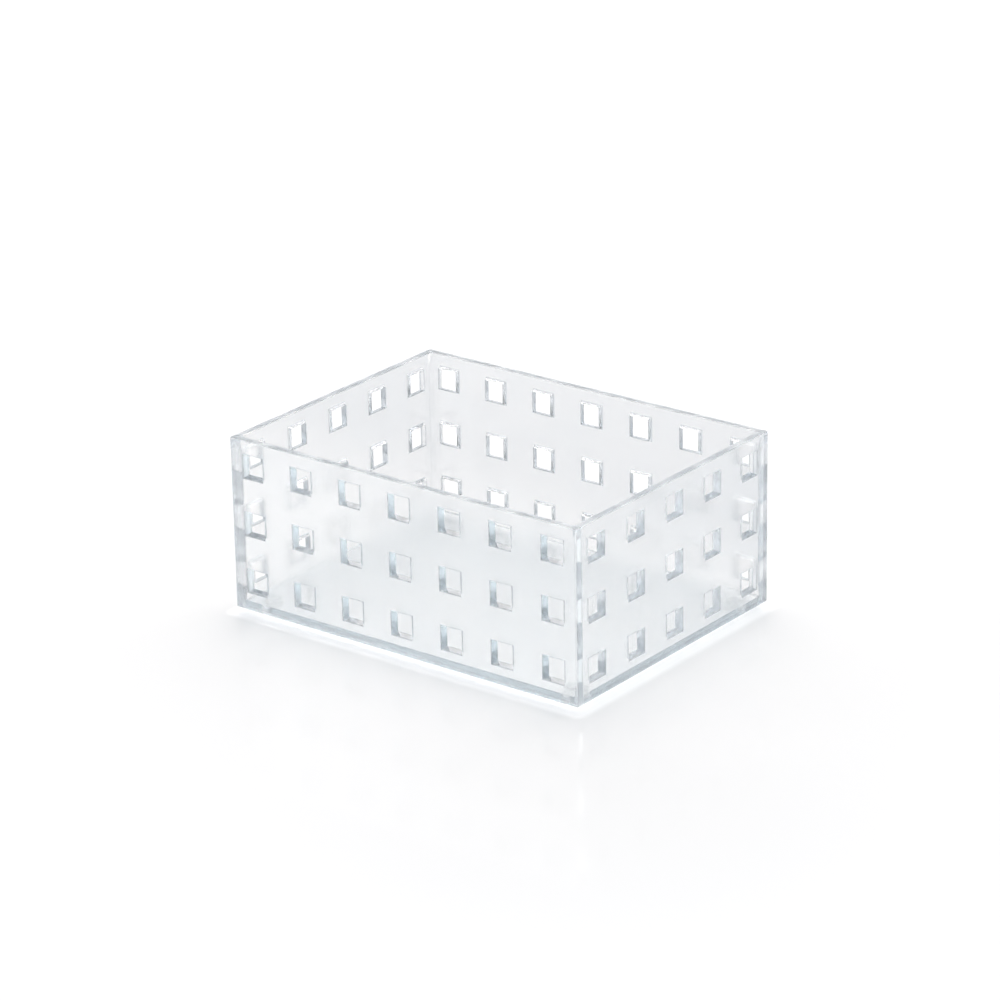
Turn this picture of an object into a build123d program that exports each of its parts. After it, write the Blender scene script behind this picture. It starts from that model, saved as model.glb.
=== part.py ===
from build123d import *
import os
from math import atan2, degrees, floor

# Clear organizer box: four windowed sheets bonded round a base plate that stands on four push-in feet.
# X runs along the long walls, Y along the short walls, Z is up, and the origin is the middle of the
# footprint on the floor. The front wall faces -Y. All lengths are in millimetres.

# Outside of the box, feet included
box_length = 217.0
box_width = 162.0
box_height = 95.6

# Sheets
wall_thickness = 4.2
base_thickness = 4.0
corner_radius = 0.8
lower_edge_radius = 0.6
rim_edge_radius = 0.4

# Windows: square, larger on the outer face than on the inner one, in rows hung from the rim
window_outer = 12.9
window_inner = 11.0
window_pitch_length = 31.3
window_pitch_width = 32.4
window_pitch_height = 31.2
top_window_drop = 13.9
window_edge_margin = 6.0

# Feet: round heads under the base plate, each with a stem in a blind socket, set in from the outer faces
foot_diameter = 9.0
foot_height = 3.1
foot_edge_radius = 0.8
foot_inset_length = 13.4
foot_inset_width = 15.5
socket_diameter = 6.0
socket_depth = 3.2
stem_clearance = 0.05

# Heights and lengths that follow from them
wall_height = box_height - foot_height
short_wall_length = box_width - wall_thickness - wall_thickness
base_length = box_length - wall_thickness - wall_thickness
window_draft = degrees(atan2((window_outer - window_inner) / 2, wall_thickness))
stem_radius = socket_diameter / 2 - stem_clearance
stem_length = socket_depth - stem_clearance


def windows_along(span, pitch):
    """Count the windows that fit along a span, with the least margin left at both ends."""
    return floor((span - window_edge_margin - window_edge_margin - window_outer) / pitch) + 1


window_rows = windows_along(wall_height, window_pitch_height)
long_columns = windows_along(box_length, window_pitch_length)
short_columns = windows_along(box_width, window_pitch_width)
window_block_height = (window_rows - 1) * window_pitch_height
window_middle = wall_height / 2 - top_window_drop - window_block_height / 2


# One window's opening, cut straight into a wall from its outer face and drafted to narrow on the way in
with BuildPart() as window_opening:
    with BuildSketch(Plane.XY):
        Rectangle(window_outer, window_outer)
    extrude(amount=-wall_thickness)
    draft(window_opening.faces().filter_by(Axis.Z, reverse=True), Plane.XY, -window_draft)


def windowed_wall(label, outward, length, columns, pitch, free_ends):
    """Make one wall sheet on a plane that lies on its outer face, with its windows cut through.

    The plane's x axis runs along the wall, its y axis points up and its z axis points out of the box.
    Free ends show at the corners of the box, so their edges are rounded as well.
    """
    with BuildPart() as wall:
        with BuildSketch(outward):
            Rectangle(length, wall_height)
        extrude(amount=-wall_thickness)
        across = Axis(outward.origin, outward.z_dir)
        along = Axis(outward.origin, outward.x_dir)
        if free_ends:
            fillet(wall.edges().filter_by(Axis.Z).group_by(across)[-1], corner_radius)
        rim_edges = wall.faces().sort_by(Axis.Z)[-1].edges()
        fillet(rim_edges if free_ends else rim_edges.filter_by(along), rim_edge_radius)
        lower_edges = wall.faces().sort_by(Axis.Z)[0].edges().sort_by(across)
        fillet(lower_edges[1:] if free_ends else lower_edges[-1:], lower_edge_radius)
        with Locations(outward):
            with Locations((0, window_middle)):
                with GridLocations(pitch, window_pitch_height, columns, window_rows):
                    add(window_opening.part, mode=Mode.SUBTRACT)
    wall.part.label = label
    return wall.part


wall_middle = foot_height + wall_height / 2
wall_planes = {
    "front_wall": Plane((0, -box_width / 2, wall_middle), x_dir=(1, 0, 0), z_dir=(0, -1, 0)),
    "back_wall": Plane((0, box_width / 2, wall_middle), x_dir=(-1, 0, 0), z_dir=(0, 1, 0)),
    "left_wall": Plane((-box_length / 2, 0, wall_middle), x_dir=(0, -1, 0), z_dir=(-1, 0, 0)),
    "right_wall": Plane((box_length / 2, 0, wall_middle), x_dir=(0, 1, 0), z_dir=(1, 0, 0)),
}

foot_x = box_length / 2 - foot_inset_length
foot_y = box_width / 2 - foot_inset_width
foot_places = {
    "foot_front_left": (-foot_x, -foot_y),
    "foot_front_right": (foot_x, -foot_y),
    "foot_back_left": (-foot_x, foot_y),
    "foot_back_right": (foot_x, foot_y),
}

os.makedirs("parts", exist_ok=True)

# Base plate: fills the space between the walls, flush with their lower edges, with a socket for each foot
with BuildPart() as base_plate:
    with BuildSketch(Plane.XY.offset(foot_height)):
        Rectangle(base_length, short_wall_length)
    extrude(amount=base_thickness)
    with BuildSketch(Plane.XY.offset(foot_height)):
        with Locations(*foot_places.values()):
            Circle(socket_diameter / 2)
    extrude(amount=socket_depth, mode=Mode.SUBTRACT)
base_plate.part.label = "base_plate"
export_step(base_plate.part, "parts/base_plate.step")

# Long walls run the full length of the box, and the short walls fit between them
for label in ("front_wall", "back_wall"):
    long_wall = windowed_wall(label, wall_planes[label], box_length, long_columns, window_pitch_length, True)
    export_step(long_wall, f"parts/{label}.step")

for label in ("left_wall", "right_wall"):
    short_wall = windowed_wall(
        label, wall_planes[label], short_wall_length, short_columns, window_pitch_width, False
    )
    export_step(short_wall, f"parts/{label}.step")

# Feet: a round head under each corner of the base plate, flat underneath, with its stem in the socket above
for label, place in foot_places.items():
    with BuildPart() as foot:
        with BuildSketch(Plane.XY):
            with Locations(place):
                Circle(foot_diameter / 2)
        extrude(amount=foot_height)
        sole = foot.faces().sort_by(Axis.Z)[0]
        fillet(sole.edges(), foot_edge_radius)
        with BuildSketch(Plane.XY.offset(foot_height)):
            with Locations(place):
                Circle(stem_radius)
        extrude(amount=stem_length)
    foot.part.label = label
    export_step(foot.part, f"parts/{label}.step")
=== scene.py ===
"""A clear organizer box with windowed walls, dressed on its CAD frame and set in a white studio."""
import logging
import math
from collections.abc import Callable
from dataclasses import dataclass, field
from enum import Enum

import bmesh
import bpy
from mathutils import Matrix, Vector


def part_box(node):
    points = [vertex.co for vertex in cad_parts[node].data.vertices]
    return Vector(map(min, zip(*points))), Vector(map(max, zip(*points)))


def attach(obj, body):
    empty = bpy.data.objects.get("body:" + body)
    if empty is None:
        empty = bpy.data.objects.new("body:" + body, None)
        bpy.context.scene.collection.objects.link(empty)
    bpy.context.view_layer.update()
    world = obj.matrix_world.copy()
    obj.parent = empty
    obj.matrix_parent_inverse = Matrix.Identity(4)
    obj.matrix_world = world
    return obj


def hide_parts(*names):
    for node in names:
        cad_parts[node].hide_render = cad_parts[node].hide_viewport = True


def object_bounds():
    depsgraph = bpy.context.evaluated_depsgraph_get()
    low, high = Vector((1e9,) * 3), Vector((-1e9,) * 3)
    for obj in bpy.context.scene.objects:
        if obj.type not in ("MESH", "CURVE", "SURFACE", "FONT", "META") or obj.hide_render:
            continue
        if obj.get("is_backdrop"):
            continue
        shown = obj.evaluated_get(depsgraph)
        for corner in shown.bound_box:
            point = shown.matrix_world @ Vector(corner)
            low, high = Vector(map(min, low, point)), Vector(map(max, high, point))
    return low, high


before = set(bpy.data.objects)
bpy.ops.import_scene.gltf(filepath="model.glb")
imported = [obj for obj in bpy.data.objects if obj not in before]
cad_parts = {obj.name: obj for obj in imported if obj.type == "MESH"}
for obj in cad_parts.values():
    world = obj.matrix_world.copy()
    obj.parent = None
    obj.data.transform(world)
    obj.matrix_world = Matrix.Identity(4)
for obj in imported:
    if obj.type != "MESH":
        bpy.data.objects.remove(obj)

logging.basicConfig(level=logging.INFO, format="%(name)s: %(message)s")
log = logging.getLogger("organizer_box")

Colour = tuple[float, float, float, float]
Point = tuple[float, float, float]
Bounds = tuple[Vector, Vector]
PointTest = Callable[[Vector], bool]
EdgeTest = Callable[[Vector, Vector], bool]

# Pieces are modelled in millimetres and published in metres. The studio is in metres throughout.
MM = 0.001
BODY = "root"
BASE_NODE = "base_plate"
FOOT_NODES = ("foot_front_left", "foot_front_right", "foot_back_left", "foot_back_right")

X_AXIS = Vector((1.0, 0.0, 0.0))
Y_AXIS = Vector((0.0, 1.0, 0.0))
Z_AXIS = Vector((0.0, 0.0, 1.0))
WHITE: Colour = (1.0, 1.0, 1.0, 1.0)
BLACK: Colour = (0.0, 0.0, 0.0, 1.0)

# Points this close count as touching, and unit vectors this close as parallel
NEAR = 0.005
MERGE_DISTANCE = 0.001
SHARP_ANGLE = math.radians(30)

# Hairline of air at each bond, where light turns as it does at a real joint line
BOND_GAP = 0.03

# Face attribute that tells the plastic what kind of surface it is on
SKIN = "skin"

# Sockets of a Mix node that are in use when it mixes colours
MIX_FACTOR, MIX_FIRST, MIX_SECOND, MIX_RESULT = 0, 6, 7, 2


@dataclass(frozen=True)
class Value:
    """A number socket whose Python operators add Math nodes to its graph."""

    graph: "Graph"
    socket: bpy.types.NodeSocket

    def _math(self, operation: str, first: object, second: object) -> "Value":
        """Add one Math node.

        Args:
            operation: Name of the Math node's operation.
            first: Left operand, a number or a Value.
            second: Right operand, a number or a Value.

        Returns:
            The result as a Value.
        """
        made = self.graph.node("ShaderNodeMath", {"operation": operation}, {0: first, 1: second})
        return Value(self.graph, made.outputs[0])

    def __add__(self, other: object) -> "Value":
        """Return self + other."""
        return self._math("ADD", self, other)

    def __radd__(self, other: object) -> "Value":
        """Return other + self."""
        return self._math("ADD", other, self)

    def __sub__(self, other: object) -> "Value":
        """Return self - other."""
        return self._math("SUBTRACT", self, other)

    def __rsub__(self, other: object) -> "Value":
        """Return other - self."""
        return self._math("SUBTRACT", other, self)

    def __mul__(self, other: object) -> "Value":
        """Return self * other."""
        return self._math("MULTIPLY", self, other)

    def __rmul__(self, other: object) -> "Value":
        """Return other * self."""
        return self._math("MULTIPLY", other, self)

    def __or__(self, other: object) -> "Value":
        """Return the larger of self and other, which joins two masks."""
        return self._math("MAXIMUM", self, other)

    def __ror__(self, other: object) -> "Value":
        """Return the larger of other and self."""
        return self._math("MAXIMUM", other, self)


@dataclass(frozen=True)
class Graph:
    """A node tree that is filled one node at a time."""

    tree: bpy.types.NodeTree

    @classmethod
    def of(cls, owner: bpy.types.ID) -> "Graph":
        """Empty the node tree of a material or world and wrap it.

        Args:
            owner: Material or world whose nodes are to be made.

        Returns:
            The graph, with no nodes in it.
        """
        owner.use_nodes = True
        owner.node_tree.nodes.clear()
        return cls(owner.node_tree)

    def node(
        self, kind: str, settings: dict | None = None, sockets: dict | None = None
    ) -> bpy.types.Node:
        """Add one node.

        Args:
            kind: Node type, such as ShaderNodeMath.
            settings: Properties of the node, set before its sockets.
            sockets: Values or links of the inputs, by name or number.

        Returns:
            The new node.
        """
        made = self.tree.nodes.new(kind)
        for key, value in (settings or {}).items():
            setattr(made, key, value)
        for key, value in (sockets or {}).items():
            source = value.socket if isinstance(value, Value) else value
            if isinstance(source, bpy.types.NodeSocket):
                self.tree.links.new(source, made.inputs[key])
            else:
                made.inputs[key].default_value = source
        return made

    def value(
        self, kind: str, output: str, settings: dict | None = None, sockets: dict | None = None
    ) -> Value:
        """Add one node and wrap one of its number outputs.

        Args:
            kind: Node type.
            output: Name of the output.
            settings: Properties of the node.
            sockets: Values or links of the inputs.

        Returns:
            The output as a Value.
        """
        return Value(self, self.node(kind, settings, sockets).outputs[output])

    def ramp(self, value: Value, start: float, end: float) -> Value:
        """Follow a number with a share that eases from 0 to 1.

        Args:
            value: Number to follow.
            start: Where the share is 0.
            end: Where the share is 1.

        Returns:
            The share.
        """
        eased = {"interpolation_type": "SMOOTHSTEP"}
        limits = {"Value": value, "From Min": start, "From Max": end}
        return self.value("ShaderNodeMapRange", "Result", eased, limits)

    def vector(self, operation: str, *operands: object) -> bpy.types.NodeSocket:
        """Add one Vector Math node.

        Args:
            operation: Name of its operation.
            operands: Vectors or links, in order.

        Returns:
            The resulting vector's socket.
        """
        sockets = dict(enumerate(operands))
        made = self.node("ShaderNodeVectorMath", {"operation": operation}, sockets)
        return made.outputs["Vector"]

    def blend(self, factor: object, first: object, second: object) -> bpy.types.NodeSocket:
        """Mix two colours.

        Args:
            factor: Share of the second colour.
            first: Colour at factor 0.
            second: Colour at factor 1.

        Returns:
            The mixed colour's socket.
        """
        sockets = {MIX_FACTOR: factor, MIX_FIRST: first, MIX_SECOND: second}
        made = self.node("ShaderNodeMix", {"data_type": "RGBA"}, sockets)
        return made.outputs[MIX_RESULT]


@dataclass(frozen=True)
class ClearPlastic:
    """Clear plastic with a faint blue tint, slightly clouded by its moulded surface. Its reveals,
    rim and window edges carry painted blue light and painted grey shade.

    The scales of its unevenness are per metre, and the depth of its ripples is in metres.
    """

    name: str
    slot: str
    tint: Colour = WHITE
    tint_deep: Colour = (0.976, 0.991, 1.0, 1.0)
    # Painted blue light on the reveals, and painted grey shade on the reveals, window edges and rim
    painted_blue_light: Colour = (0.6, 0.77, 0.85, 1.0)
    painted_grey_shade: Colour = (0.5, 0.53, 0.56, 1.0)
    roughness: float = 0.16
    roughness_spread: float = 0.02
    noise_middle: float = 1.0
    clearness: float = 0.98
    refraction: float = 1.59
    absorbed: Colour = (0.0, 0.42, 0.75, 1.0)
    absorption: float = 1.5
    flow_scale: float = 38.0
    haze_scale: float = 420.0
    ripple_scale: float = 160.0
    ripple_depth: float = 0.00004
    ripple_strength: float = 0.12

    def material(self) -> bpy.types.Material:
        """Make the material.

        Returns:
            Refracting plastic whose painted blue light, painted grey shade and polish follow its
            skin, and whose tint and polish vary slightly.
        """
        made = bpy.data.materials.new(self.name)
        graph = Graph.of(made)
        place = graph.node("ShaderNodeTexCoord").outputs["Object"]
        flow, haze, ripple = (
            graph.value("ShaderNodeTexNoise", "Fac", sockets={"Vector": place, "Scale": scale})
            for scale in (self.flow_scale, self.haze_scale, self.ripple_scale)
        )
        skin = graph.node("ShaderNodeAttribute", {"attribute_name": SKIN}).outputs["Vector"]
        split = graph.node("ShaderNodeSeparateXYZ", sockets={"Vector": skin})
        grain, blue_light_share, grey_shade_share = (Value(graph, split.outputs[axis]) for axis in "XYZ")
        moulded = self.roughness + self.roughness_spread * (flow + haze - self.noise_middle)
        body_tint = graph.blend(flow, self.tint, self.tint_deep)
        # Painted blue light, then painted grey shade, by the shares that the skin holds
        tint_and_blue_light = graph.blend(blue_light_share, body_tint, self.painted_blue_light)
        bump = graph.node(
            "ShaderNodeBump",
            sockets={
                "Strength": self.ripple_strength,
                "Distance": self.ripple_depth,
                "Height": ripple,
            },
        )
        plastic = graph.node(
            "ShaderNodeBsdfPrincipled",
            sockets={
                "Base Color": graph.blend(grey_shade_share, tint_and_blue_light, self.painted_grey_shade),
                "Roughness": moulded * grain,
                "Transmission Weight": self.clearness,
                "IOR": self.refraction,
                "Normal": bump.outputs["Normal"],
            },
        )
        body = graph.node(
            "ShaderNodeVolumeAbsorption",
            sockets={"Color": self.absorbed, "Density": self.absorption},
        )
        graph.node(
            "ShaderNodeOutputMaterial",
            sockets={"Surface": plastic.outputs[0], "Volume": body.outputs[0]},
        )
        return made


@dataclass(frozen=True)
class GlossyFloor:
    """White table top with a soft gloss, its colour darker behind the box: painted shade of weaker
    light there.

    It glows to white where it is seen, and a little more behind the box. Close round its outline it
    glows brighter, a painted strip of light. Far away from it, it glows brighter too, painted light
    that leaves painted shade near the box. Reflections and what is seen through the plastic get a
    share of this painted glow.
    """

    outline: Point
    name: str = "white_table"
    colour: Colour = (0.83, 0.83, 0.83, 1.0)
    # Darker colour behind the box, a painted shade of weaker light there
    painted_shade_behind: Colour = (0.61, 0.62, 0.635, 1.0)
    far_start: float = 0.05
    far_end: float = 0.19
    roughness: float = 0.08
    refraction: float = 1.5
    edge_start: float = 0.002
    edge_end: float = 0.007
    away_start: float = 0.04
    away_end: float = 0.4
    lift_near: float = 0.1
    lift_far: float = 0.22
    # Painted strip of light round the outline, and painted light far from the box that leaves
    # painted shade near it
    painted_edge_light: float = 0.18
    painted_light_away: float = 0.16
    through_share: float = 0.26

    def _gap(self, graph: Graph, place: bpy.types.NodeSocket) -> Value:
        """Work out how far a point of the table lies outside the outline of the box.

        Args:
            graph: Graph of the material.
            place: Place on the table.

        Returns:
            The distance, which is 0 under the box.
        """
        beyond = graph.vector("SUBTRACT", graph.vector("ABSOLUTE", place), self.outline)
        outside = graph.vector("MAXIMUM", beyond, (0.0, 0.0, 0.0))
        return graph.value("ShaderNodeVectorMath", "Value", {"operation": "LENGTH"}, {0: outside})

    def material(self) -> bpy.types.Material:
        """Make the material.

        Returns:
            A pale glossy surface with a little light of its own where it is seen.
        """
        made = bpy.data.materials.new(self.name)
        graph = Graph.of(made)
        place = graph.node("ShaderNodeTexCoord").outputs["Object"]
        depth = graph.value("ShaderNodeSeparateXYZ", "Y", sockets={"Vector": place})
        gap = self._gap(graph, place)
        # Masks of the painted strip of light round the outline, the painted light far away and the
        # painted shade behind the box
        edge = 1.0 - graph.ramp(gap, self.edge_start, self.edge_end)
        away = graph.ramp(gap, self.away_start, self.away_end)
        far = graph.ramp(depth, self.far_start, self.far_end)
        rays = graph.node("ShaderNodeLightPath").outputs
        camera, glossy, through = (
            Value(graph, rays[f"Is {kind} Ray"]) for kind in ("Camera", "Glossy", "Transmission")
        )
        seen = camera | self.through_share * (glossy | through)
        lift = self.lift_near + self.lift_far * far + self.painted_edge_light * edge + self.painted_light_away * away
        top = graph.node(
            "ShaderNodeBsdfPrincipled",
            sockets={
                "Base Color": graph.blend(far, self.colour, self.painted_shade_behind),
                "Roughness": self.roughness,
                "IOR": self.refraction,
                "Emission Color": graph.blend(seen * lift, BLACK, WHITE),
                "Emission Strength": 1.0,
            },
        )
        graph.node("ShaderNodeOutputMaterial", sockets={"Surface": top.outputs[0]})
        return made


class Side(Enum):
    """The four sides of the box, each with the direction that its wall faces."""

    FRONT = (0.0, -1.0, 0.0)
    BACK = (0.0, 1.0, 0.0)
    LEFT = (-1.0, 0.0, 0.0)
    RIGHT = (1.0, 0.0, 0.0)

    @property
    def node(self) -> str:
        """Return the name of the wall's CAD node."""
        return f"{self.name.lower()}_wall"

    @property
    def outward(self) -> Vector:
        """Return the direction that the wall faces."""
        return Vector(self.value)

    @property
    def is_long(self) -> bool:
        """Return whether the wall runs the full length of the box."""
        return self in (Side.FRONT, Side.BACK)


class Skin(Enum):
    """The kinds of surface on a piece.

    Each holds its roughness beside that of a main face, its share of the painted blue light and its
    share of the painted grey shade.
    """

    MAIN = (1.0, 0.0, 0.0)
    EDGE = (0.4, 0.0, 0.0)
    # Reveals, window edges and rim: their blue is painted light and their grey is painted shade
    BLUE_REVEAL = (0.4, 0.62, 0.0)
    PALE_REVEAL = (0.4, 0.12, 0.0)
    GREY_REVEAL = (0.4, 0.15, 0.75)
    WINDOW_EDGE = (0.4, 0.0, 0.85)
    RIM = (5.0, 0.0, 0.3)


def everything(mesh: bmesh.types.BMesh) -> list:
    """Return all vertices, edges and faces of a mesh."""
    return [*mesh.verts, *mesh.edges, *mesh.faces]


def rectangle(length: float, width: float) -> bmesh.types.BMesh:
    """Start a mesh from one flat rectangle round the origin.

    Args:
        length: Its size along x.
        width: Its size along y.

    Returns:
        The new mesh.
    """
    mesh = bmesh.new()
    bmesh.ops.create_grid(mesh, x_segments=1, y_segments=1, size=0.5)
    bmesh.ops.scale(mesh, vec=(length, width, 1.0), verts=mesh.verts)
    return mesh


def both(test: PointTest) -> EdgeTest:
    """Return a test of two points that asks the same of each."""
    return lambda start, end: test(start) and test(end)


def sharp_edges(mesh: bmesh.types.BMesh, wanted: EdgeTest) -> list[bmesh.types.BMEdge]:
    """Pick the sharp edges of a mesh by the places of their two ends.

    Args:
        mesh: Mesh to search.
        wanted: Test of an edge's two end points.

    Returns:
        The edges that pass, where the faces beside them meet at more than a slight angle.
    """
    return [
        edge
        for edge in mesh.edges
        if edge.calc_face_angle(0.0) > SHARP_ANGLE and wanted(*(end.co for end in edge.verts))
    ]


def round_edges(
    mesh: bmesh.types.BMesh, edges: list[bmesh.types.BMEdge], radius: float, steps: int
) -> None:
    """Round edges of a mesh.

    Args:
        mesh: Mesh that the edges belong to.
        edges: Edges to round.
        radius: Radius of the rounding.
        steps: Number of facets across it.
    """
    bmesh.ops.bevel(
        mesh, geom=edges, offset=radius, segments=steps, profile=0.5, affect="EDGES", material=-1
    )


def mark_skin(mesh: bmesh.types.BMesh, skin_of: Callable[[bmesh.types.BMFace], Skin]) -> None:
    """Note what kind of surface each face is.

    Args:
        mesh: Finished mesh in its own frame.
        skin_of: Choice of the kind for a face.
    """
    layer = mesh.faces.layers.float_vector.new(SKIN)
    for face in mesh.faces:
        face[layer] = skin_of(face).value


def add_object(name: str, data: bpy.types.ID) -> bpy.types.Object:
    """Put a new object into the scene.

    Args:
        name: Name of the object.
        data: Its mesh, lamp or camera.

    Returns:
        The object.
    """
    made = bpy.data.objects.new(name, data)
    bpy.context.scene.collection.objects.link(made)
    return made


def add_mesh(
    mesh: bmesh.types.BMesh, name: str, material: bpy.types.Material
) -> bpy.types.Object:
    """Put a finished mesh into the scene.

    Args:
        mesh: Mesh in metres; it is freed.
        name: Name of the object.
        material: What it is dressed with.

    Returns:
        The object.
    """
    data = bpy.data.meshes.new(name)
    mesh.to_mesh(data)
    mesh.free()
    data.materials.append(material)
    return add_object(name, data)


def publish(
    mesh: bmesh.types.BMesh, name: str, finish: ClearPlastic, node: str
) -> bpy.types.Object:
    """Turn a mesh in millimetres into a finished piece that stands for a CAD node.

    Args:
        mesh: Closed mesh, in place in the box's frame; it is freed.
        name: Name of the piece.
        finish: Finish that it is dressed with.
        node: CAD node that it stands for.

    Returns:
        The piece's object.
    """
    bmesh.ops.remove_doubles(mesh, verts=mesh.verts, dist=MERGE_DISTANCE)
    bmesh.ops.recalc_face_normals(mesh, faces=mesh.faces)
    bmesh.ops.scale(mesh, vec=(MM, MM, MM), verts=mesh.verts)
    material = bpy.data.materials.get(finish.name) or finish.material()
    piece = add_mesh(mesh, name, material)
    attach(piece, BODY)
    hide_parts(node)
    return piece


def node_box(node: str) -> Bounds:
    """Return the lowest and highest corner of a CAD node, in millimetres."""
    low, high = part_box(node)
    return low / MM, high / MM


def plan_middle(node: str) -> Vector:
    """Return the middle of a CAD node in the plan, in millimetres."""
    low, high = node_box(node)
    return Vector(((low.x + high.x) / 2, (low.y + high.y) / 2, 0.0))


@dataclass(frozen=True)
class WindowRow:
    """The windows along a wall: how many there are, and how far apart their middles are."""

    columns: int
    pitch: float


LONG_ROW = WindowRow(7, 31.3)
SHORT_ROW = WindowRow(5, 32.4)

# The upright and the level reveals in the windows of each wall, as they look in the picture: one
# plastic in lit and shaded copies, with painted blue light and painted grey shade
REVEALS = {
    Side.FRONT: (Skin.BLUE_REVEAL, Skin.GREY_REVEAL),
    Side.BACK: (Skin.GREY_REVEAL, Skin.GREY_REVEAL),
    Side.LEFT: (Skin.GREY_REVEAL, Skin.GREY_REVEAL),
    Side.RIGHT: (Skin.PALE_REVEAL, Skin.PALE_REVEAL),
}


@dataclass
class WallSheet:
    """One wall: a sheet with rows of square windows that narrow towards the inside of the box.

    In the sheet's own frame x runs along the wall, y up and z out of the box, from the middle of
    the outer face.
    """

    side: Side
    row: WindowRow
    upright_reveal: Skin
    level_reveal: Skin
    rows: int = 3
    row_pitch: float = 31.2
    top_drop: float = 13.9
    window_outer: float = 12.9
    window_inner: float = 11.0
    window_edge: float = 0.45
    window_steps: int = 3
    corner_radius: float = 0.8
    corner_steps: int = 4
    rim_edge: float = 0.4
    rim_steps: int = 3
    lower_edge: float = 0.6
    lower_steps: int = 3
    lean_tolerance: float = 0.05
    finish: ClearPlastic = ClearPlastic("clear_wall_plastic", "clear_wall")
    length: float = field(init=False)
    height: float = field(init=False)
    thickness: float = field(init=False)
    reveal_lean: float = field(init=False)
    place: Matrix = field(init=False)

    def __post_init__(self) -> None:
        """Take the sheet's size and place from its CAD node, and work out how its reveals lean."""
        low, high = node_box(self.side.node)
        outward = self.side.outward
        along = Z_AXIS.cross(outward)
        size, middle = high - low, (low + high) / 2
        bonds = 0.0 if self.side.is_long else 2 * BOND_GAP
        self.length = abs(size.dot(along)) - bonds
        self.height = size.z
        self.thickness = abs(size.dot(outward))
        inset = (self.window_outer - self.window_inner) / 2
        self.reveal_lean = math.sin(math.atan2(inset, self.thickness))
        turn = Matrix((along, Z_AXIS, outward)).transposed().to_4x4()
        self.place = Matrix.Translation(middle + outward * self.thickness / 2) @ turn

    def _column_middles(self) -> list[float]:
        """Return where the middles of the windows lie along the wall, from the left."""
        first = -(self.row.columns - 1) / 2 * self.row.pitch
        return [first + column * self.row.pitch for column in range(self.row.columns)]

    def _row_middles(self) -> list[float]:
        """Return how high the middles of the windows lie, from the lowest row."""
        top = self.height / 2 - self.top_drop
        return [top - row * self.row_pitch for row in reversed(range(self.rows))]

    def _window_middles(self) -> list[Vector]:
        """Return the middle of each window on the outer face."""
        rows = self._row_middles()
        return [Vector((along, up, 0.0)) for along in self._column_middles() for up in rows]

    def _scored_face(self) -> bmesh.types.BMesh:
        """Make the outer face, cut along the edges of all windows, with the windows taken out.

        Returns:
            A flat mesh in the sheet's own frame.
        """
        mesh = rectangle(self.length, self.height)
        half = self.window_outer / 2
        for axis, middles in ((X_AXIS, self._column_middles()), (Y_AXIS, self._row_middles())):
            for line in (edge for middle in middles for edge in (middle - half, middle + half)):
                bmesh.ops.bisect_plane(
                    mesh,
                    geom=everything(mesh),
                    dist=MERGE_DISTANCE,
                    plane_co=axis * line,
                    plane_no=axis,
                )
        centres = self._window_middles()
        windows = [
            face
            for face in mesh.faces
            if any((face.calc_center_median() - centre).length < half for centre in centres)
        ]
        bmesh.ops.delete(mesh, geom=windows, context="FACES")
        return mesh

    def _thicken(self, mesh: bmesh.types.BMesh) -> None:
        """Give the scored face its thickness and draw the windows in towards the inside.

        A short wall ends within reach of its outer windows, so beside them its ends lean in too.

        Args:
            mesh: The scored outer face.
        """
        deep = bmesh.ops.extrude_face_region(mesh, geom=mesh.faces[:])["geom"]
        inner = [item for item in deep if isinstance(item, bmesh.types.BMVert)]
        bmesh.ops.translate(mesh, vec=(0.0, 0.0, -self.thickness), verts=inner)
        ratio, reach = self.window_inner / self.window_outer, self.window_outer
        for centre in self._window_middles():
            corners = [
                vert for vert in inner if max(map(abs, vert.co.xy - centre.xy)) < reach
            ]
            bmesh.ops.scale(
                mesh, vec=(ratio, ratio, 1.0), space=Matrix.Translation(-centre), verts=corners
            )
        bmesh.ops.recalc_face_normals(mesh, faces=mesh.faces)

    def _end_gap(self, point: Vector) -> float:
        """Return how far a point lies from the nearest outer end of the sheet."""
        return min(self.length / 2 - abs(point.x), self.height / 2 - abs(point.y))

    def _round_windows(self, mesh: bmesh.types.BMesh) -> None:
        """Round the edges of the windows on both faces.

        Args:
            mesh: The thickened sheet.
        """
        on_outline = both(lambda point: self._end_gap(point) < NEAR)
        windows = sharp_edges(
            mesh, lambda start, end: abs(start.z - end.z) < NEAR and not on_outline(start, end)
        )
        round_edges(mesh, windows, self.window_edge, self.window_steps)

    def _round_outline(self, mesh: bmesh.types.BMesh) -> None:
        """Round the corners, the rim and the lower edge, where they show on the finished box.

        The ends of a long wall show, and those of a short wall are bonded.

        Args:
            mesh: The sheet with its windows rounded.
        """
        free = self.side.is_long
        at_end = both(lambda point: abs(point.x) > self.length / 2 - NEAR)
        at_top = both(lambda point: point.y > self.height / 2 - NEAR)
        at_bottom = both(lambda point: point.y < NEAR - self.height / 2)
        outside = both(lambda point: point.z > -NEAR)
        inside = both(lambda point: point.z < NEAR - self.thickness)
        if free:
            corners = sharp_edges(mesh, lambda *ends: at_end(*ends) and outside(*ends))
            round_edges(mesh, corners, self.corner_radius, self.corner_steps)
        rim = sharp_edges(mesh, lambda *ends: at_top(*ends) and (free or not at_end(*ends)))
        round_edges(mesh, rim, self.rim_edge, self.rim_steps)
        lower = sharp_edges(
            mesh,
            lambda *ends: at_bottom(*ends) and (not inside(*ends) if free else outside(*ends)),
        )
        round_edges(mesh, lower, self.lower_edge, self.lower_steps)

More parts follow.
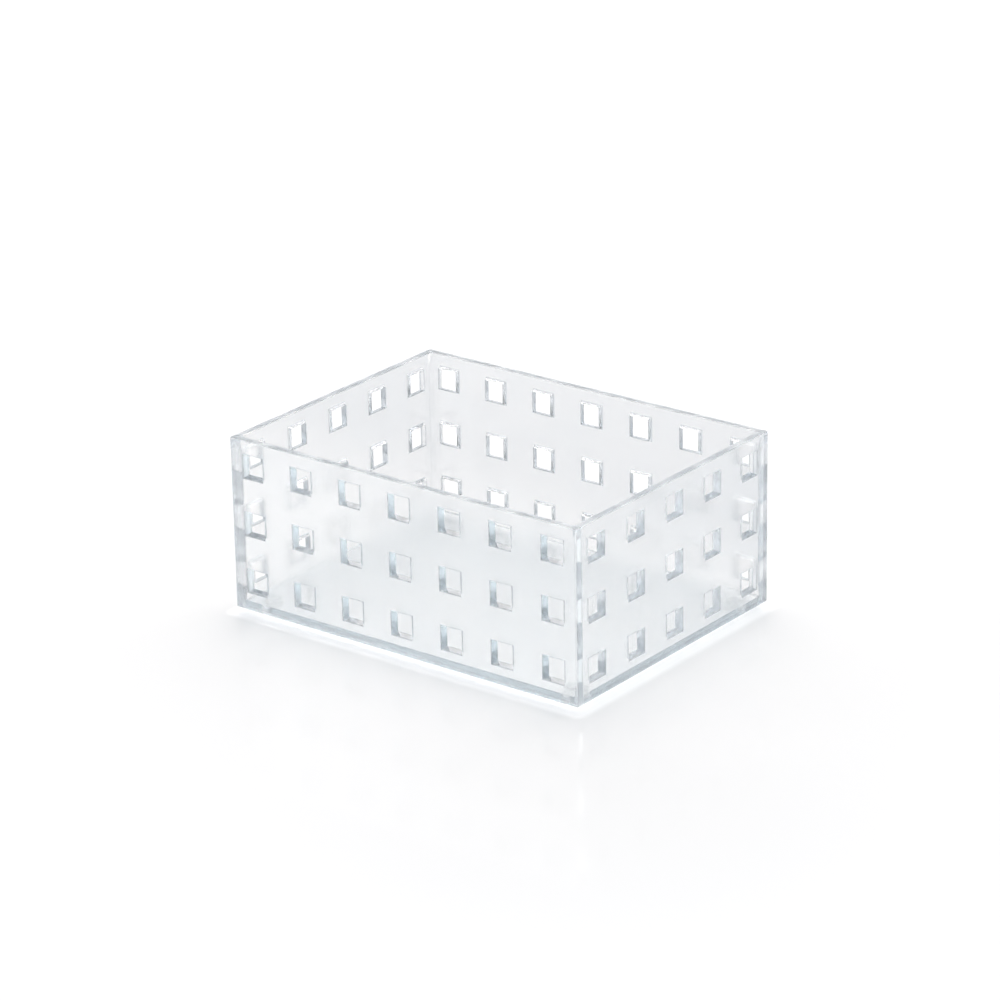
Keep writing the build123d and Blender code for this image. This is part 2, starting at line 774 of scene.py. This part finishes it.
    def _skin(self, face: bmesh.types.BMFace) -> Skin:
        """Tell what kind of surface a face of the sheet is.

        Args:
            face: Face of the sheet in its own frame.

        Returns:
            The main faces, the rim, the other outer edges, the rounded edges of the windows and
            their reveals, each as its own kind.
        """
        normal, middle = face.normal, face.calc_center_median()
        if abs(normal.z) > 1.0 - NEAR:
            return Skin.MAIN
        if normal.y > 1.0 - NEAR and middle.y > self.height / 2 - NEAR:
            return Skin.RIM
        if self._end_gap(middle) < self.corner_radius:
            return Skin.EDGE
        if abs(normal.z - self.reveal_lean) > self.lean_tolerance:
            return Skin.WINDOW_EDGE
        return self.level_reveal if abs(normal.y) > abs(normal.x) else self.upright_reveal

    def build(self) -> bpy.types.Object:
        """Make the sheet and dress it.

        Returns:
            The wall's object.
        """
        mesh = self._scored_face()
        self._thicken(mesh)
        self._round_windows(mesh)
        self._round_outline(mesh)
        mark_skin(mesh, self._skin)
        bmesh.ops.transform(mesh, matrix=self.place, verts=mesh.verts)
        return publish(mesh, f"{self.side.node}_sheet", self.finish, self.side.node)


@dataclass
class BasePlate:
    """The floor of the box: a plate between the walls, with a blind socket over each foot."""

    node: str = BASE_NODE
    socket_radius: float = 3.0
    socket_depth: float = 3.2
    turns: int = 48
    top_edge: float = 0.1
    top_steps: int = 2
    finish: ClearPlastic = ClearPlastic(
        "clear_base_plastic",
        "clear_base",
        clearness=0.9,
        refraction=1.5,
        absorbed=(0.0, 0.68, 1.0, 1.0),
        absorption=1.7,
    )
    sockets: list[Vector] = field(init=False)

    def __post_init__(self) -> None:
        """Take the middle of each socket in the plan from the foot below it."""
        self.sockets = [plan_middle(foot) for foot in FOOT_NODES]

    def _raise(
        self, mesh: bmesh.types.BMesh, loops: list[bmesh.types.BMEdge], height: float
    ) -> None:
        """Pull loops of edges straight up and close each of them at the top.

        Args:
            mesh: Mesh that the loops belong to.
            loops: Edges of one or more closed loops.
            height: How far they are pulled up.
        """
        pulled = bmesh.ops.extrude_edge_only(mesh, edges=loops)["geom"]
        verts = [item for item in pulled if isinstance(item, bmesh.types.BMVert)]
        edges = [item for item in pulled if isinstance(item, bmesh.types.BMEdge)]
        bmesh.ops.translate(mesh, vec=(0.0, 0.0, height), verts=verts)
        bmesh.ops.edgeloop_fill(mesh, edges=[edge for edge in edges if edge.is_boundary])

    def _skin(self, face: bmesh.types.BMFace) -> Skin:
        """Tell what kind of surface a face of the plate is.

        Args:
            face: Face of the plate.

        Returns:
            Main for the flat faces, and edge for the others and the ends of the sockets.
        """
        flat = abs(face.normal.z) > 1.0 - NEAR
        middle = face.calc_center_median()
        in_socket = any((middle.xy - centre.xy).length < NEAR for centre in self.sockets)
        return Skin.MAIN if flat and not in_socket else Skin.EDGE

    def build(self) -> bpy.types.Object:
        """Make the plate from its underside up and dress it.

        Returns:
            The base plate's object.
        """
        low, high = node_box(self.node)
        size = high - low
        bonds = 2 * BOND_GAP
        mesh = rectangle(size.x - bonds, size.y - bonds)
        bmesh.ops.delete(mesh, geom=mesh.faces[:], context="FACES_ONLY")
        outline = mesh.edges[:]
        for centre in self.sockets:
            bmesh.ops.create_circle(
                mesh,
                radius=self.socket_radius,
                segments=self.turns,
                matrix=Matrix.Translation(centre),
            )
        rings = [edge for edge in mesh.edges if edge not in outline]
        bmesh.ops.triangle_fill(mesh, use_beauty=True, edges=mesh.edges[:])
        self._raise(mesh, rings, self.socket_depth)
        self._raise(mesh, outline, size.z)
        bmesh.ops.recalc_face_normals(mesh, faces=mesh.faces)
        top = sharp_edges(mesh, both(lambda point: point.z > size.z - NEAR))
        round_edges(mesh, top, self.top_edge, self.top_steps)
        mark_skin(mesh, self._skin)
        bmesh.ops.translate(mesh, vec=(0.0, 0.0, low.z), verts=mesh.verts)
        return publish(mesh, "base_plate_sheet", self.finish, self.node)


@dataclass
class PushInFoot:
    """One foot: a round head under the base plate, with a stem in the plate's socket."""

    node: str
    stem_radius: float = 2.95
    stem_edge: float = 0.3
    stem_steps: int = 3
    sole_edge: float = 0.8
    sole_steps: int = 4
    turns: int = 48
    finish: ClearPlastic = ClearPlastic(
        "clear_foot_plastic", "clear_foot", clearness=0.55, refraction=1.5
    )

    def _spun(self, outline: tuple[tuple[float, float], ...]) -> bmesh.types.BMesh:
        """Spin half an outline once round the upright axis.

        Args:
            outline: Points of the half outline, each its distance from the axis and its height.

        Returns:
            The closed mesh.
        """
        mesh = bmesh.new()
        verts = [mesh.verts.new((across, 0.0, up)) for across, up in outline]
        edges = [mesh.edges.new(pair) for pair in zip(verts, verts[1:])]
        bmesh.ops.spin(
            mesh,
            geom=[*verts, *edges],
            axis=Z_AXIS,
            cent=(0.0, 0.0, 0.0),
            angle=math.tau,
            steps=self.turns,
            use_merge=True,
        )
        bmesh.ops.remove_doubles(mesh, verts=mesh.verts, dist=MERGE_DISTANCE)
        bmesh.ops.recalc_face_normals(mesh, faces=mesh.faces)
        return mesh

    def build(self) -> bpy.types.Object:
        """Make the foot and dress it.

        Returns:
            The foot's object.
        """
        low, high = node_box(self.node)
        plate_low, _ = node_box(BASE_NODE)
        radius, tip = (high.x - low.x) / 2, high.z
        shoulder = plate_low.z - BOND_GAP
        mesh = self._spun(
            (
                (0.0, 0.0),
                (radius, 0.0),
                (radius, shoulder),
                (self.stem_radius, shoulder),
                (self.stem_radius, tip),
                (0.0, tip),
            )
        )
        sole_rim = sharp_edges(mesh, both(lambda point: point.z < NEAR))
        round_edges(mesh, sole_rim, self.sole_edge, self.sole_steps)
        tip_rim = sharp_edges(mesh, both(lambda point: point.z > tip - NEAR))
        round_edges(mesh, tip_rim, self.stem_edge, self.stem_steps)
        mark_skin(mesh, lambda face: Skin.EDGE)
        bmesh.ops.translate(mesh, vec=plan_middle(self.node), verts=mesh.verts)
        return publish(mesh, f"{self.node}_pad", self.finish, self.node)


@dataclass(frozen=True)
class SoftLamp:
    """A square soft lamp that faces the box.

    Its place and the length of its sides are in metres, and its power is in watts.
    """

    name: str
    place: Point
    side: float
    power: float
    colour: Point = (1.0, 0.91, 0.84)

    def build(self) -> None:
        """Hang the lamp and turn it towards the box."""
        data = bpy.data.lights.new(self.name, "AREA")
        data.shape = "SQUARE"
        data.size = self.side
        data.energy = self.power
        data.color = self.colour
        lamp = add_object(self.name, data)
        lamp.location = self.place
        lamp.rotation_euler = (-Vector(self.place)).to_track_quat("-Z", "Y").to_euler()


@dataclass(frozen=True)
class PictureCamera:
    """The camera at the angle of the photograph.

    Turns are in degrees, distances in metres and the sensor's width in millimetres.
    """

    name: str = "picture_camera"
    azimuth: float = 37.938
    elevation: float = 21.559
    roll: float = -1.054
    aim_height: float = 0.0531
    distance: float = 2.09039
    shift_across: float = -0.000008
    shift_upward: float = 0.006374
    focal_pixels: float = 4130.2
    image_pixels: float = 1000.0
    sensor: float = 36.0
    view_reach: float = 100.0

    def _axes(self) -> tuple[Vector, Vector, Vector]:
        """Work out which way the camera is turned.

        Returns:
            The directions to its right, to its top and to its back.
        """
        azimuth, elevation, roll = map(math.radians, (self.azimuth, self.elevation, self.roll))
        level = math.cos(elevation)
        back = Vector((math.sin(azimuth) * level, -math.cos(azimuth) * level, math.sin(elevation)))
        right = Vector((math.cos(azimuth), math.sin(azimuth), 0.0))
        up = back.cross(right)
        across = right * math.cos(roll) + up * math.sin(roll)
        upward = up * math.cos(roll) - right * math.sin(roll)
        return across, upward, back

    def build(self) -> None:
        """Set up the camera and make it the scene's own."""
        across, upward, back = self._axes()
        place = (
            Z_AXIS * self.aim_height
            + back * self.distance
            + across * self.shift_across
            + upward * self.shift_upward
        )
        data = bpy.data.cameras.new(self.name)
        data.sensor_width = self.sensor
        data.lens = self.focal_pixels * self.sensor / self.image_pixels
        data.clip_end = self.view_reach
        camera = add_object(self.name, data)
        turn = Matrix((across, upward, back)).transposed().to_4x4()
        camera.matrix_world = Matrix.Translation(place) @ turn
        bpy.context.scene.camera = camera


@dataclass
class Studio:
    """White table in a white cove with a bluish ceiling, two soft lamps and the camera."""

    table: GlossyFloor
    table_size: float = 12.0
    table_drop: float = 0.0001
    cove: Colour = (0.98, 0.99, 1.0, 1.0)
    ceiling: Colour = (0.4, 0.45, 0.5, 1.0)
    backdrop: Colour = WHITE
    cove_top: float = 0.28
    ceiling_start: float = 0.62
    overhead: SoftLamp = SoftLamp("overhead_softbox", (-0.2, 0.5, 1.3), side=1.4, power=16.0)
    fill: SoftLamp = SoftLamp("front_fill", (-1.2, -1.0, 0.7), side=1.0, power=4.0)
    camera: PictureCamera = PictureCamera()
    bounces: int = 32
    glossy_bounces: int = 16
    diffuse_bounces: int = 4

    def _floor(self) -> None:
        """Lay the table top a hair below the soles of the feet, so that none share its plane."""
        mesh = rectangle(self.table_size, self.table_size)
        bmesh.ops.translate(mesh, vec=(0.0, 0.0, -self.table_drop), verts=mesh.verts)
        table = add_mesh(mesh, "table_top", self.table.material())
        table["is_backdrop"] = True

    def _surroundings(self) -> None:
        """Set the world: white low down, a bluish grey ceiling, and white behind the picture."""
        world = bpy.data.worlds.new("white_cove")
        bpy.context.scene.world = world
        graph = Graph.of(world)
        direction = graph.node("ShaderNodeTexCoord").outputs["Generated"]
        height = graph.value("ShaderNodeSeparateXYZ", "Z", sockets={"Vector": direction})
        rise = graph.ramp(height, self.cove_top, self.ceiling_start)
        lit = graph.blend(rise, self.cove, self.ceiling)
        camera_ray = graph.node("ShaderNodeLightPath").outputs["Is Camera Ray"]
        seen = graph.blend(camera_ray, lit, self.backdrop)
        sky = graph.node("ShaderNodeBackground", sockets={"Color": seen})
        graph.node("ShaderNodeOutputWorld", sockets={"Surface": sky.outputs[0]})

    def _light_paths(self) -> None:
        """Follow light far enough through the clear plastic, and keep its small glints sharp."""
        cycles = bpy.context.scene.cycles
        cycles.max_bounces = self.bounces
        cycles.transmission_bounces = self.bounces
        cycles.glossy_bounces = self.glossy_bounces
        cycles.diffuse_bounces = self.diffuse_bounces
        cycles.blur_glossy = 0.0

    def build(self) -> None:
        """Set up the table, the surroundings, the lamps and the camera."""
        self._floor()
        self._surroundings()
        self.overhead.build()
        self.fill.build()
        self.camera.build()
        self._light_paths()
        bpy.context.scene.view_settings.view_transform = "Standard"


def main() -> None:
    """Build the box piece by piece, report each piece, and set up the studio round the box's
    outline.
    """
    cad_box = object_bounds()
    walls = [
        WallSheet(side, LONG_ROW if side.is_long else SHORT_ROW, *REVEALS[side]) for side in Side
    ]
    feet = [PushInFoot(node) for node in FOOT_NODES]
    for part in (BasePlate(), *walls, *feet):
        piece = part.build()
        log.info("%s: %d faces in %s", piece.name, len(piece.data.polygons), part.finish.name)
    _, highest = cad_box
    Studio(GlossyFloor((highest.x, highest.y, 0.0))).build()


if __name__ == "__main__":
    main()
